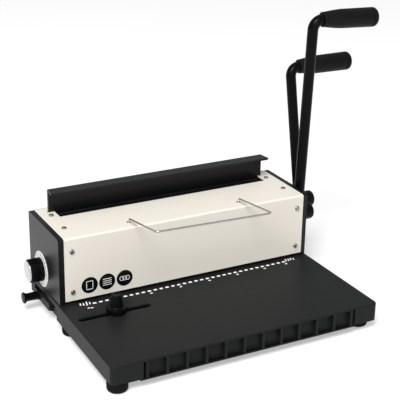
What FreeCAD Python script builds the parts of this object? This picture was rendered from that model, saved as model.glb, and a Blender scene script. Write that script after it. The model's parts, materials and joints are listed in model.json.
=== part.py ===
import FreeCAD, Part
import math
import os

from FreeCAD import Vector

# Desk machine that punches sheets and closes wire combs. Millimetres, +X to the right along the
# machine, +Y to the back, +Z up. The origin is on the tray's top, where the sheets lie, on the
# middle line and under the face of the front cover. Heights below are counted from the desk, and
# save() lowers each shape by the tray's height.

# hole row, which everything along the machine is set out from
hole_pitch = 25.4 / 3
hole_count = 34
hole_side = 4.0

# base
foot_height = 12.0
base_depth = 24.0
tray_wall = 3.0
tray_reach = 166.0
tray_overhang = 1.5
tray_flare = 1.7
tray_corner = 6.0
edge_round = 1.5
bay_count = 11
bay_land = 39.1
bay_recess = 6.0
bay_top = 2.0
rib_width = 3.6
end_gap = 3.6
row_shift = 2.8
inner_rib = 2.0
inner_rib_depth = 9.0
bottom_sheet = 1.2
lip_inset = 34.5
lip_thick = 1.6
lip_proud = 0.3
foot_radius = 12.8
foot_round = 4.0
boss_radius = 5.0
boss_screw = 8.0

# feet, each set in from the tray's side and from its front, the cover or the back
left_foot_inset = 10.2
left_foot_back = 11.0
right_foot_inset = 13.6
right_foot_back = 20.5
middle_foot_inset = 13.0
middle_foot_front = 8.0
rear_foot_inset = 32.5
rear_foot_front = 19.8

# body
side_room = 10.8
plate_thick = 7.0
shaft_to_top = 41.0
back_room = 12.8
sheet = 1.5
cover_bend = 5.0
throat = 4.5
tab_width = 16.5
tab_thick = 3.0
tab_low = 6.0
tab_high = 8.0
top_tab_back = 24.4
plate_chamfer = 3.0
screw_inset = 10.0
front_screw_low = 16.7
front_screw_high = 72.3
top_screw_inset = 13.2
top_screw_front = 32.4
top_screw_back = 29.9

# punch set
punch_y = 39.0
die_thick = 9.0
paper_gap = 3.0
guide_thick = 10.5
die_half_width = 12.0
spacer_length = 10.0
edge_margin = 4.5
carrier_thick = 5.0
retainer_thick = 3.0
carrier_half_width = 7.6
punch_head = 6.0
punch_head_thick = 2.0
pin_radius = 4.0
pin_margin = 9.5
pad_thick = 1.8
spring_wire = 0.6
spring_gap = 1.6
spring_pocket = 4.0
spring_steps = 12
spring_turns = 4
punch_travel = 8.0
punch_spare = 1.68
retainer_screw_count = 5
retainer_screw_inset = 9.7
retainer_screw_shift = 4.6
retainer_screw_radius = 1.5
retainer_head_radius = 2.8
retainer_head_height = 1.6

# shafts
dial_to_shaft = 24.9
shaft_radius = 7.0
bush_wall = 3.0
bush_flange = 3.0
bush_flange_wide = 2.5
blind_wall = 2.0

# punch cams, whose radius grows evenly with the turn
cam_low = 12.0
cam_turn = 85.0
cam_spare_turn = 20.0
cam_width = 10.0
cam_x = 100.0
cam_sag = 1.02

# levers
tube_radius = 7.2
tube_wall = 1.5
tube_bend = 13.0
tube_step = 23.0
punch_lean = 2.9
closer_lean = -11.5
punch_reach = 277.8
closer_reach = 191.3
punch_droop = 2.5
closer_droop = 0.0
hub_radius = 11.5
hub_within = 9.7
hub_beyond = 22.0
hub_end = 6.0
hub_round = 4.0
grip_length = 85.5
grip_radius = 13.2
grip_neck = 10.0
grip_taper = 20.0
grip_round = 5.0
grip_ring = 1.0
grip_end = 12.0

# closer
crank_radius = 20.0
crank_pin_radius = 3.0
crank_pin_play = 0.55
crank_thick = 7.0
crank_hub = 12.0
crank_boss = 6.0
crank_side = 1.0
closer_travel = 21.0
closer_inset = 14.7
closer_gap = 28.5
flange_depth = 21.0
flange_thick = 2.4
flange_flare = 2.2
shaft_to_web = 18.1
web_thick = 4.0
web_below = 40.0
bar_bend = 2.3
slot_end_gap = 3.7
slot_shift = 1.2
slot_lead = 3.6
anvil_gap = 1.0
anvil_lead = 0.6
anvil_sunk = 1.0
anvil_width = 17.7
anvil_height = 19.0
anvil_wall = 2.0
anvil_seat = 7.0
anvil_groove = 1.5
stand_inset = 29.0
stand_width = 30.0
stand_thick = 3.0
stand_foot = 4.0
bracket_inset = 9.3
bracket_gap = 0.55
bracket_lip = 2.2
bracket_thick = 4.0
bracket_top = 6.0
bracket_corner = 8.0
bracket_step = 8.5
bracket_drop = 16.0
ear_width = 12.0
ear_low = 4.0
ear_high = 20.0
ear_thick = 3.0
bracket_screw_radius = 2.0
bracket_head_radius = 3.3
bracket_head_height = 2.0
bracket_screw_low = 8.0
bracket_screw_high = 16.0
guide_rise = 26.0
guide_below = 8.0
guide_wall = 3.0
guide_gap = 2.0
closer_spring_radius = 3.0
closer_spring_turns = 7

# size dial
dial_lead = 6.9
dial_radius = 23.8
dial_sheet = 0.6
dial_knob_radius = 15.5
dial_knob_length = 17.4
dial_rib_count = 24
dial_cap_radius = 13.8
dial_cap_thick = 1.5
dial_shaft_radius = 2.5
dial_bush_radius = 4.5
dial_bush_wide = 2.0
stop_low = 3.6
stop_high = 7.5
stop_turn = 270.0

# chip drawer
drawer_lead = 5.0
drawer_back = 15.8
drawer_gap = 2.0
drawer_inset = 34.0
drawer_wall = 1.5
drawer_proud = 1.5
drawer_round = 3.0
rail_foot = 6.0
opening_front = 12.0
opening_above = 7.0
opening_round = 6.0
pull_back = 33.3
pull_radius = 4.5
pull_length = 21.0
pull_flange = 7.5

# paper stop
slot_inset = 8.2
slot_right = -77.0
slot_y = -43.6
slot_width = 9.0
stop_x = -124.0
stop_radius = 12.7
stop_rim = 6.5
stop_neck = 6.2
stop_height = 24.5
stud_radius = 2.4
clamp_side = 18.0

# wire hanger
hanger_half = 80.0
hanger_y = 15.0
hanger_wire = 1.2
hanger_reach = 80.0
hanger_stand = 5.2
hanger_rise = 10.8
hanger_skew = 2.3
hanger_spread = 1.75
hanger_bend = 4.5
hanger_tail = 12.0

# screws
screw_radius = 2.0
cover_screw_radius = 1.6
cover_screw_play = 0.4
cover_screw_length = 6.0
cover_head_radius = 3.3
cover_head_height = 1.8
die_screw_radius = 2.5
die_head_radius = 4.2
die_head_height = 3.0
set_screw_radius = 2.5

# clearances
fit = 0.05
seat = 0.3

# places that follow from the sizes above
row_half = (hole_count - 1) * hole_pitch / 2
guide_pin_x = row_half + pin_margin
die_half = guide_pin_x + pin_radius + spacer_length
carrier_half = guide_pin_x + pin_radius + 3
body_half = die_half + side_room
plate_face = body_half + plate_thick
tray_half = plate_face + tray_overhang
blind_depth = plate_thick - blind_wall
closer_half = body_half - closer_inset
bracket_inner = closer_half - bracket_inset
anvil_half = bracket_inner - anvil_gap
slot_half = anvil_half + slot_end_gap
punch_tube_x = plate_face + seat + hub_within
closer_tube_x = punch_tube_x + tube_step
slot_left = slot_inset - tray_half

tray_top = foot_height + base_depth
tray_under = tray_top - tray_wall
sheet_top = foot_height + bottom_sheet
guide_bottom = tray_top + paper_gap
guide_top = guide_bottom + guide_thick
carrier_bottom = guide_top + punch_spare + punch_travel
pad_top = carrier_bottom + carrier_thick + retainer_thick + pad_thick
punch_z = pad_top + seat + cam_sag + cam_low
dial_z = tray_top + seat + dial_radius
closer_z = dial_z + dial_to_shaft
cover_top = closer_z + shaft_to_top
cover_under = cover_top - sheet
stop_top = dial_z + stop_high + seat
drawer_height = base_depth - die_thick - drawer_gap - bottom_sheet - seat

crank_slot = crank_pin_radius + crank_pin_play
closer_y = punch_y + carrier_half_width + bracket_gap + bracket_lip + crank_slot + crank_radius
web_front = closer_y + shaft_to_web
web_back = web_front + web_thick
body_depth = web_back + back_room
slot_front = web_back - flange_depth - slot_lead
dial_y = closer_y - dial_lead
drawer_front_y = punch_y - drawer_lead
drawer_rear_y = body_depth - drawer_back
pull_y = body_depth - pull_back
inner_front = -tray_reach + bay_recess + tray_wall

spring_radius = pin_radius + spring_gap
cam_rise = punch_travel / math.radians(cam_turn)
crank_swing = math.asin(closer_travel / 2 / crank_radius)


def box(x, y, z):
    """A block between the low and high values given along each axis."""
    return Part.makeBox(x[1] - x[0], y[1] - y[0], z[1] - z[0], Vector(x[0], y[0], z[0]))


def around(centre, half):
    """The low and high value of a span about its centre."""
    return (centre - half, centre + half)


def side_span(side, inner, outer):
    """A span along X on the left (-1) or right (+1) half."""
    return (min(side * inner, side * outer), max(side * inner, side * outer))


def rod_x(radius, x, y, z):
    """A cylinder along X."""
    return Part.makeCylinder(radius, x[1] - x[0], Vector(x[0], y, z), Vector(1, 0, 0))


def rod_y(radius, x, y, z):
    """A cylinder along Y."""
    return Part.makeCylinder(radius, y[1] - y[0], Vector(x, y[0], z), Vector(0, 1, 0))


def rod_z(radius, x, y, z):
    """A cylinder along Z."""
    return Part.makeCylinder(radius, z[1] - z[0], Vector(x, y, z[0]), Vector(0, 0, 1))


def face_of(points):
    """A flat face inside a closed outline."""
    return Part.Face(Part.makePolygon(points + [points[0]]))


def along_x(outline, x):
    """A profile of (y, z) points pulled along X."""
    start = [Vector(x[0], y, z) for y, z in outline]
    return face_of(start).extrude(Vector(x[1] - x[0], 0, 0))


def turned_z(profile, x, y):
    """A profile of (radius, z) points turned about an upright axis."""
    outline = [Vector(x + r, y, z) for r, z in profile]
    return face_of(outline).revolve(Vector(x, y, 0), Vector(0, 0, 1), 360)


def turned_x(profile, y, z):
    """A profile of (x, radius) points turned about an axis along X."""
    outline = [Vector(x, y, z + r) for x, r in profile]
    return face_of(outline).revolve(Vector(0, y, z), Vector(1, 0, 0), 360)


def joined(shapes):
    """Shapes welded into one."""
    result = shapes[0]
    if len(shapes) > 1:
        result = shapes[0].multiFuse(shapes[1:])
    return result.removeSplitter()


def rounded(shape, radius, chosen):
    """The shape with a fillet along each edge that the test picks."""
    edges = [edge for edge in shape.Edges if chosen(edge.BoundBox)]
    return shape.makeFillet(radius, edges)


def near(a, b):
    return abs(a - b) < 0.01


def upright(bounds, x, y):
    """Whether an edge stands upright at x, y."""
    return near(bounds.XMin, x) and near(bounds.XMax, x) and near(bounds.YMin, y) and near(bounds.YMax, y)


def lengthwise(bounds, y, z):
    """Whether an edge runs along X at y, z."""
    return near(bounds.YMin, y) and near(bounds.YMax, y) and near(bounds.ZMin, z) and near(bounds.ZMax, z)


def slot_cut(x, y, radius, z):
    """A round-ended slot along X, as a solid to cut with."""
    middle = box(x, around(y, radius), z)
    return joined([middle, rod_z(radius, x[0], y, z), rod_z(radius, x[1], y, z)])


def pipe(points, bend, radius):
    """A round bar along straight runs joined by bends."""
    edges = []
    start = points[0]
    for before, corner, after in zip(points, points[1:], points[2:]):
        back = (before - corner).normalize()
        ahead = (after - corner).normalize()
        half = back.getAngle(ahead) / 2
        cut = bend / math.tan(half)
        first = corner + back * cut
        last = corner + ahead * cut
        middle = corner + (back + ahead).normalize() * (bend / math.sin(half) - bend)
        edges.append(Part.LineSegment(start, first).toShape())
        edges.append(Part.Arc(first, middle, last).toShape())
        start = last
    edges.append(Part.LineSegment(start, points[-1]).toShape())
    path = Part.Wire(edges)
    section = Part.Wire(Part.makeCircle(radius, points[0], points[1] - points[0]))
    return path.makePipeShell([section], True, True)


def spring(wire, radius, turns, x, y, z):
    """A coil of square wire with its axis upright, bent from short straight runs."""
    rise = (z[1] - z[0] - 2 * wire) / (turns * spring_steps)
    corners = []
    for index in range(turns * spring_steps + 1):
        angle = 2 * math.pi * index / spring_steps
        corners.append((angle, z[0] + wire + rise * index))
    rails = []
    inner = radius - wire
    outer = radius + wire
    for r, dz in ((inner, -wire), (outer, -wire), (outer, wire), (inner, wire)):
        rails.append([Vector(x + r * math.cos(a), y + r * math.sin(a), height + dz) for a, height in corners])
    faces = [face_of([rail[0] for rail in rails]), face_of([rail[-1] for rail in rails])]
    for first, second in zip(rails, rails[1:] + rails[:1]):
        for a, b, c, d in zip(first, first[1:], second[1:], second):
            faces += [face_of([a, b, c]), face_of([a, c, d])]
    return Part.makeSolid(Part.makeShell(faces))


def save(node, shapes):
    """Writes one node, as one solid or as a group of separate solids."""
    shape = shapes[0] if len(shapes) == 1 else Part.makeCompound(shapes)
    shape.translate(Vector(0, 0, -tray_top))
    shape.exportStep("parts/" + node + ".step")


def front_foot_places():
    """Centres of the four feet under the table and the cover's front."""
    left = (left_foot_inset - tray_half, left_foot_back - tray_reach)
    right = (tray_half - right_foot_inset, right_foot_back - tray_reach)
    x = tray_half - middle_foot_inset
    return [left, right, (-x, -middle_foot_front), (x, -middle_foot_front)]


def rear_foot_places():
    """Centres of the rear feet, further in, clear of the drawer's path."""
    x = tray_half - rear_foot_inset
    return [(side * x, body_depth - rear_foot_front) for side in (-1, 1)]


def tray_block(half, front, back, z):
    """An upright block with the tray's plan, which widens evenly to the front, and its front corners."""
    flare = tray_flare / tray_reach
    corners = [(side * (half - flare * y), y) for side, y in ((-1, front), (1, front), (1, back), (-1, back))]
    block = face_of([Vector(x, y, z[0]) for x, y in corners]).extrude(Vector(0, 0, z[1] - z[0]))
    return block, corners[0], corners[1]


def base_tray():
    """Moulded tray: table surface, skirts, a front skirt with bays, and openings."""
    full, left, right = tray_block(tray_half, -tray_reach, body_depth, (foot_height, tray_top))
    shell = rounded(full, tray_corner, lambda b: upright(b, *left) or upright(b, *right))
    shell = rounded(shell, edge_round, lambda b: near(b.ZMin, tray_top) and near(b.ZMax, tray_top))
    inner_x = tray_half - tray_wall
    hollow, left, right = tray_block(inner_x, inner_front, body_depth - tray_wall, (0, tray_under))
    hollow = rounded(hollow, tray_corner - tray_wall, lambda b: upright(b, *left) or upright(b, *right))
    shell = shell.cut(hollow)
    bay_z = (foot_height - 1, tray_top - bay_top)
    bay_y = (-tray_reach - 1, -tray_reach + bay_recess)
    bay_pitch = (2 * (tray_half - bay_land) - rib_width) / bay_count
    bay_half = (bay_pitch - rib_width) / 2
    row_end = bay_count * bay_pitch / 2 + rib_width / 2
    for index in range(bay_count):
        middle = row_shift + (index - (bay_count - 1) / 2) * bay_pitch
        shell = shell.cut(box(around(middle, bay_half), bay_y, bay_z))
    for side in (-1, 1):
        gap = [row_shift + x for x in side_span(side, row_end, row_end + end_gap)]
        shell = shell.cut(box(gap, bay_y, bay_z))
    extras = []
    rib_span = (inner_front - 1, slot_y - clamp_side)
    for index in range(-2, 3):
        extras.append(box(around(index * tray_half / 3, inner_rib / 2), rib_span,
                          (tray_under - inner_rib_depth, tray_under)))
    for x, y in front_foot_places():
        extras.append(rod_z(boss_radius, x, y, (sheet_top, tray_under)))
    shell = joined([shell] + extras)
    cuts = [rod_z(screw_radius + fit, x, y, (0, tray_under - 1)) for x, y in front_foot_places()]
    through = (tray_under - 1, tray_top + 1)
    cuts.append(box(around(0, die_half + seat), around(punch_y, die_half_width + seat), through))
    ends = (slot_left + slot_width / 2, slot_right - slot_width / 2)
    cuts.append(slot_cut(ends, slot_y, slot_width / 2, through))
    top = tray_top - opening_above
    opening = box((-tray_half - tray_wall, tray_wall - inner_x),
                  (opening_front, drawer_rear_y + seat * 2), (0, top))
    cuts.append(rounded(opening, opening_round, lambda b: lengthwise(b, opening_front, top)))
    return shell.cut(cuts)


def bottom_plate():
    """Sheet that closes the underside and carries the drawer, with a lip along the front."""
    plate, left, right = tray_block(tray_half - tray_wall - seat, inner_front + seat,
                                    body_depth - tray_wall - seat, (foot_height, sheet_top))
    plate = rounded(plate, tray_corner - tray_wall, lambda b: upright(b, *left) or upright(b, *right))
    lip = box(around(0, tray_half - lip_inset), (-tray_reach - lip_proud, inner_front + tray_wall * 2),
              (foot_height - lip_thick, foot_height))
    places = front_foot_places() + rear_foot_places()
    holes = [rod_z(screw_radius + fit, x, y, (foot_height - 1, sheet_top + 1)) for x, y in places]
    return joined([plate, lip]).cut(holes)


def feet():
    """Rubber feet with a round lower edge and a sunk screw hole."""
    result = []
    for x, y in front_foot_places() + rear_foot_places():
        foot = rod_z(foot_radius, x, y, (0, foot_height))
        foot = rounded(foot, foot_round, lambda b: near(b.ZMax, 0))
        foot = foot.cut(rod_z(screw_radius * 2.75, x, y, (-1, foot_height / 2)))
        result.append(foot.cut(rod_z(screw_radius + fit, x, y, (0, foot_height + 1))))
    return result


def foot_screws():
    """Pan head screws through the feet: long into the tray's bosses, short at the rear."""
    places = [(x, y, sheet_top + boss_screw) for x, y in front_foot_places()]
    places += [(x, y, sheet_top) for x, y in rear_foot_places()]
    result = []
    for x, y, end in places:
        head = rod_z(screw_radius * 2.2, x, y, (foot_height / 4, foot_height / 2))
        result.append(joined([head, rod_z(screw_radius, x, y, (foot_height / 4, end))]))
    return result


def drawer_rails():
    """Two angles on the bottom sheet that keep the drawer square."""
    outer = (drawer_front_y - seat - drawer_wall, drawer_rear_y + seat + drawer_wall)
    x = (tray_wall + tray_flare + seat - tray_half, body_half - drawer_inset + rail_foot)
    z = (sheet_top, sheet_top + drawer_height / 2)
    toe = outer[0] - rail_foot
    front = along_x([(outer[0], z[1]), (outer[0] + drawer_wall, z[1]), (outer[0] + drawer_wall, z[0]),
                     (toe, z[0]), (toe, z[0] + drawer_wall), (outer[0], z[0] + drawer_wall)], x)
    rear = box(x, (outer[1] - drawer_wall, outer[1]), z)
    return [front, rear]


def chip_drawer():
    """Open drawer for the punched chips, with a front plate."""
    y = (drawer_front_y, drawer_rear_y)
    z = (sheet_top + seat, sheet_top + seat + drawer_height)
    face_x = -tray_half - drawer_proud
    end = body_half - drawer_inset
    body = box((face_x + tray_wall, end), y, z)
    body = rounded(body, drawer_round, lambda b: upright(b, end, y[0]) or upright(b, end, y[1]))
    room = box((face_x + tray_wall + drawer_wall, end - drawer_wall),
               (y[0] + drawer_wall, y[1] - drawer_wall), (z[0] + drawer_wall, z[1] + 1))
    front = box((face_x, face_x + tray_wall), y, z)
    front = rounded(front, drawer_round, lambda b: b.YLength + b.ZLength < 0.01)
    front = rounded(front, 1.0, lambda b: near(b.XMin, face_x) and near(b.XMax, face_x))
    return joined([body.cut(room), front])


def drawer_pull():
    """Turned peg with a flange, screwed to the drawer's front."""
    start = -tray_half - drawer_proud
    end = start - pull_length
    z = sheet_top + seat + drawer_height / 2
    profile = [(start, 0), (start, pull_radius), (end + 6, pull_radius * 0.9), (end + 3, pull_flange - 1),
               (end + 2, pull_flange), (end + 0.8, pull_flange), (end, pull_flange - 1), (end, 0)]
    return turned_x(profile, pull_y, z)


def side_plate(side):
    """Thick black side plate with tabs for the covers, the base and the punch set."""
    y = (sheet, body_depth)
    outline = [(y[0], tray_top), (y[1], tray_top), (y[1], cover_top - 2), (y[1] - 2, cover_top),
               (y[0] + plate_chamfer, cover_top), (y[0], cover_top - plate_chamfer)]
    plate = along_x(outline, side_span(side, body_half, plate_face))
    tab_x = side_span(side, body_half - tab_width, body_half)
    inner_back = body_depth - sheet
    tall = (tray_top + tab_low, cover_top - tab_high)
    paper_side = side_span(side, die_half + 1, body_half)
    tabs = [
        box(tab_x, (sheet, sheet + tab_thick), tall),
        box(tab_x, (cover_bend + 1, body_depth - top_tab_back), (cover_under - tab_thick, cover_under)),
        box(tab_x, (inner_back - tab_thick, inner_back), tall),
        box(paper_side, (sheet + tab_thick, inner_back), (tray_top, guide_bottom)),
    ]
    plate = joined([plate] + tabs)
    outer_end = plate_face + 1 if side > 0 else body_half + blind_depth
    bore = side_span(side, body_half - 1, outer_end)
    shafts = ((punch_y, punch_z), (closer_y, closer_z))
    cuts = [rod_x(shaft_radius + bush_wall + fit, bore, y, z) for y, z in shafts]
    if side < 0:
        dial_bore = (-plate_face - 1, -body_half + 1)
        cuts.append(rod_x(dial_bush_radius + fit, dial_bore, dial_y, dial_z))
    hole = cover_screw_radius + fit
    deep = cover_screw_length + tab_thick
    for x, y, z in front_screw_places():
        cuts.append(rod_y(hole, x, (0, deep), z))
    for x, y, z in rear_screw_places():
        cuts.append(rod_y(hole, x, (body_depth - deep, body_depth + 1), z))
    for x, y, z in top_screw_places():
        cuts.append(rod_z(hole, x, y, (cover_top - deep, cover_top + 1)))
    return plate.cut(cuts)


def front_screw_places():
    x = body_half - screw_inset
    rises = (front_screw_low, front_screw_high)
    return [(side * x, 0, tray_top + rise) for side in (-1, 1) for rise in rises]


def rear_screw_places():
    return [(x, body_depth, z) for x, y, z in front_screw_places()]


def top_screw_places():
    x = body_half - top_screw_inset
    rows = (top_screw_front, body_depth - top_screw_back)
    return [(side * x, y, cover_top) for side in (-1, 1) for y in rows]


def front_cover():
    """One bent sheet: the front panel and the top, with the closer's slot and the hanger's holes."""
    half = body_half - seat
    bottom = tray_top + throat
    outer = box((-half, half), (0, body_depth - sheet - seat), (bottom, cover_top))
    outer = rounded(outer, cover_bend, lambda b: lengthwise(b, 0, cover_top))
    inner = box((-half - 1, half + 1), (sheet, body_depth), (0, cover_under))
    inner = rounded(inner, cover_bend - sheet, lambda b: lengthwise(b, sheet, cover_under))
    cover = outer.cut(inner)
    through = (cover_top - 9, cover_top + 1)
    cuts = [
        box(around(slot_shift, slot_half), (slot_front, web_back + seat * 2), through),
        box(around(0, closer_half + seat * 4), (web_front - seat * 2, web_back + seat * 2), through),
    ]
    cuts += [rod_y(cover_screw_radius + cover_screw_play, x, (-1, 3), z) for x, y, z in front_screw_places()]
    cuts += [rod_z(cover_screw_radius + cover_screw_play, x, y, through) for x, y, z in top_screw_places()]
    cuts += [rod_z(hanger_wire + 0.9 + fit, side * hanger_half, hanger_y, through) for side in (-1, 1)]
    return cover.cut(cuts)


def rear_cover():
    """Flat sheet between the side plates, screwed to their rear tabs."""
    half = body_half - seat
    panel = box((-half, half), (body_depth - sheet, body_depth), (tray_top + seat, cover_top))
    panel = rounded(panel, sheet - 0.1, lambda b: lengthwise(b, body_depth, cover_top))
    cuts = [rod_y(cover_screw_radius + cover_screw_play, x, (body_depth - 3, body_depth + 1), z)
            for x, y, z in rear_screw_places()]
    return panel.cut(cuts)


def cover_screw(x, y, z, out):
    """Pan head screw whose head looks along out."""
    head = Part.makeCylinder(cover_head_radius, cover_head_height, Vector(x, y, z), out)
    head = rounded(head, cover_head_height / 1.8, lambda b: far_face(b, x, y, z, out))
    start = Vector(x, y, z) - out * cover_screw_length
    return joined([head, Part.makeCylinder(cover_screw_radius, cover_screw_length, start, out)])


def far_face(bounds, x, y, z, out):
    centre = bounds.Center - Vector(x, y, z)
    return near(centre.dot(out), cover_head_height)


def guide_plate():
    """Upper plate, which guides the punches and holds the carrier's pins."""
    half = body_half - seat
    plate = box((-half, half), around(punch_y, die_half_width), (guide_bottom, guide_top))
    cuts = punch_holes(hole_side / 2 + fit, guide_bottom, guide_top)
    through = (guide_bottom - 1, guide_top + 1)
    cuts += [rod_z(pin_radius + fit, side * guide_pin_x, punch_y, through) for side in (-1, 1)]
    for x, y in die_screw_places():
        cuts.append(rod_z(die_screw_radius + fit, x, y, through))
        cuts.append(rod_z(die_head_radius + fit * 2, x, y, (guide_top - die_head_height, guide_top + 1)))
    return plate.cut(cuts)


def die_screw_places():
    x = die_half - spacer_length / 2
    return [(side * x, punch_y + shift) for side in (-1, 1) for shift in (-6, 6)]


def punch_holes(half, bottom, top):
    """Square cutters on the hole row."""
    result = []
    for index in range(hole_count):
        x = index * hole_pitch - row_half
        result.append(box(around(x, half), around(punch_y, half), (bottom - 1, top + 1)))
    return result


def die_plate():
    """Lower plate, flush with the tray, whose holes widen below the cutting edge."""
    plate = box(around(0, die_half), around(punch_y, die_half_width), (tray_top - die_thick, tray_top))
    cuts = punch_holes(hole_side / 2 + fit, tray_top - die_thick, tray_top)
    relief = tray_top - die_thick / 2
    cuts.append(box(around(0, row_half + hole_side), around(punch_y, hole_side * 0.75), (0, relief)))
    cuts += [rod_z(die_screw_radius + fit, x, y, (0, tray_top + 1)) for x, y in die_screw_places()]
    return plate.cut(cuts)


def die_spacers():
    """Blocks that hold the two plates a paper gap apart."""
    result = []
    for side in (-1, 1):
        block = box(side_span(side, die_half - spacer_length, die_half), around(punch_y, die_half_width),
                    (tray_top, guide_bottom))
        holes = [rod_z(die_screw_radius + fit, x, y, (0, guide_top)) for x, y in die_screw_places()]
        result.append(block.cut(holes))
    return result


def back_gauge():
    """Strip behind the holes that the sheets' edge comes up against."""
    half = die_half - spacer_length - seat
    return box((-half, half), (punch_y + edge_margin, punch_y + die_half_width), (tray_top, guide_bottom))


def die_screws():
    result = []
    for x, y in die_screw_places():
        head = rod_z(die_head_radius, x, y, (guide_top - die_head_height, guide_top))
        shank = rod_z(die_screw_radius, x, y, (tray_top - die_thick + 1, guide_top - 1))
        result.append(joined([head, shank]).cut(rod_z(1.8, x, y, (guide_top - 2, guide_top + 1))))
    return result


def guide_pins():
    """Hard pins in the guide plate that the punch carrier slides on."""
    top = carrier_bottom + carrier_thick + retainer_thick + 1
    return [rod_z(pin_radius, side * guide_pin_x, punch_y, (guide_bottom, top)) for side in (-1, 1)]


def punch_springs():
    """Two springs round the pins that lift the carrier."""
    z = (guide_top + fit, carrier_bottom + spring_pocket - fit)
    return [spring(spring_wire, spring_radius, spring_turns, side * guide_pin_x, punch_y, z)
            for side in (-1, 1)]


def punch_carrier():
    """Bar that carries the punches, with a counterbore for each head and spring."""
    top = carrier_bottom + carrier_thick
    bar = box(around(0, carrier_half), around(punch_y, carrier_half_width), (carrier_bottom, top))
    cuts = punch_holes(hole_side / 2 + fit, carrier_bottom, top)
    cuts += punch_holes(punch_head / 2 + fit, top - punch_head_thick + 1, top)
    for side in (-1, 1):
        cuts.append(rod_z(pin_radius + fit, side * guide_pin_x, punch_y, (carrier_bottom - 1, top + 1)))
        cuts.append(rod_z(spring_radius + spring_wire + 0.4, side * guide_pin_x, punch_y,
                          (carrier_bottom - 1, carrier_bottom + spring_pocket)))
    return bar.cut(cuts)


def retainer_screw_places():
    step = 2 * (row_half - retainer_screw_inset) / (retainer_screw_count - 1)
    half = (retainer_screw_count - 1) / 2
    return [((index - half) * step, punch_y + retainer_screw_shift) for index in range(retainer_screw_count)]


def punch_retainer():
    """Flat bar that closes the counterbores over the punch heads."""
    z = (carrier_bottom + carrier_thick, pad_top - pad_thick)
    bar = box(around(0, carrier_half), around(punch_y, carrier_half_width), z)
    cuts = [rod_z(pin_radius + fit, side * guide_pin_x, punch_y, (z[0] - 1, z[1] + 1)) for side in (-1, 1)]
    hole = retainer_screw_radius + fit
    cuts += [rod_z(hole, x, y, (z[0] - 1, z[1] + 1)) for x, y in retainer_screw_places()]
    return bar.cut(cuts)


def retainer_screws():
    top = pad_top - pad_thick
    return [joined([rod_z(retainer_head_radius, x, y, (top, top + retainer_head_height)),
                    rod_z(retainer_screw_radius, x, y, (top - retainer_thick, top))])
            for x, y in retainer_screw_places()]


def cam_pads():
    """Hard pads on the carrier that the cams press on."""
    z = (pad_top - pad_thick, pad_top)
    y = around(punch_y, carrier_half_width)
    return [box(around(side * cam_x, cam_width / 2 + 2), y, z) for side in (-1, 1)]


def punch_pins():
    """The row of square punches, each with a head."""
    top = carrier_bottom + carrier_thick
    result = []
    for index in range(hole_count):
        x = index * hole_pitch - row_half
        shank = box(around(x, hole_side / 2), around(punch_y, hole_side / 2), (guide_bottom + seat, top))
        head = box(around(x, punch_head / 2), around(punch_y, punch_head / 2), (top - punch_head_thick, top))
        result.append(joined([shank, head]))
    return result


def bush(side, y, z):
    """Flanged bronze bush: through the right plate, blind in the left one."""
    outer_end = plate_face if side > 0 else body_half + blind_depth
    outer = shaft_radius + bush_wall
    body = rod_x(outer, side_span(side, body_half - bush_flange, outer_end), y, z)
    flange = rod_x(outer + bush_flange_wide, side_span(side, body_half - bush_flange, body_half), y, z)
    bore = rod_x(shaft_radius + fit, side_span(side, body_half - 9, plate_face + 9), y, z)
    return joined([body, flange]).cut(bore)


def shaft(y, z, end):
    """Plain steel shaft from the blind bush to inside its lever's hub."""
    bar = rod_x(shaft_radius, (-body_half - blind_depth + seat, end), y, z)
    return bar.makeChamfer(0.8, [edge for edge in bar.Edges if near(edge.BoundBox.XMin, edge.BoundBox.XMax)])


def growing_outline(low, growth, turn, centre_y, centre_z, start, way):
    """Points, as (y, z), on a curve whose radius grows evenly with the turn."""
    steps = max(6, round(turn / 12))
    points = []
    for index in range(steps + 1):
        angle = math.radians(turn) * index / steps
        radius = low + growth * angle
        direction = start + way * angle
        points.append((centre_y + radius * math.cos(direction), centre_z + radius * math.sin(direction)))
    return points


def cam_blank(points, low, centre_y, centre_z, x, bore):
    """A cam from its rising curve, closed over its base circle."""
    vectors = [Vector(x[0], y, z) for y, z in points]
    curve = Part.BSplineCurve()
    curve.interpolate(vectors)
    centre = Vector(x[0], centre_y, centre_z)
    edges = [curve.toShape(), Part.LineSegment(vectors[-1], centre).toShape(),
             Part.LineSegment(centre, vectors[0]).toShape()]
    rise = Part.Face(Part.Wire(edges)).extrude(Vector(x[1] - x[0], 0, 0))
    base = rod_x(low, x, centre_y, centre_z)
    hole = rod_x(bore, (x[0] - 1, x[1] + 1), centre_y, centre_z)
    return joined([rise, base]).cut(hole)


def punch_cams():
    """Cams that press the carrier down evenly as the lever comes forward."""
    turn = cam_turn + cam_spare_turn
    points = growing_outline(cam_low, cam_rise, turn, punch_y, punch_z, -math.pi / 2, -1)
    result = []
    for side in (-1, 1):
        x = around(side * cam_x, cam_width / 2)
        result.append(cam_blank(points, cam_low, punch_y, punch_z, x, shaft_radius + fit))
    return result


def hub(y, z, tube_x):
    """Round hub on the shaft's end, with a rounded outer face and a screw hole below."""
    x = (tube_x - hub_within, tube_x + hub_beyond)
    body = rod_x(hub_radius, x, y, z)
    body = rounded(body, hub_round, lambda b: near(b.XMin, x[1]) and near(b.XMax, x[1]))
    bore = rod_x(shaft_radius + fit, (x[0] - 1, x[1] - hub_end), y, z)
    screw = rod_z(set_screw_radius + fit, tube_x, y, (z - hub_radius - 1, z))
    return body.cut([bore, screw])


def hub_screw(y, axis_z, tube_x):
    """Set screw that holds the hub to its shaft."""
    z = (axis_z - hub_radius + 0.6, axis_z - shaft_radius)
    return rod_z(set_screw_radius, tube_x, y, z)


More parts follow.
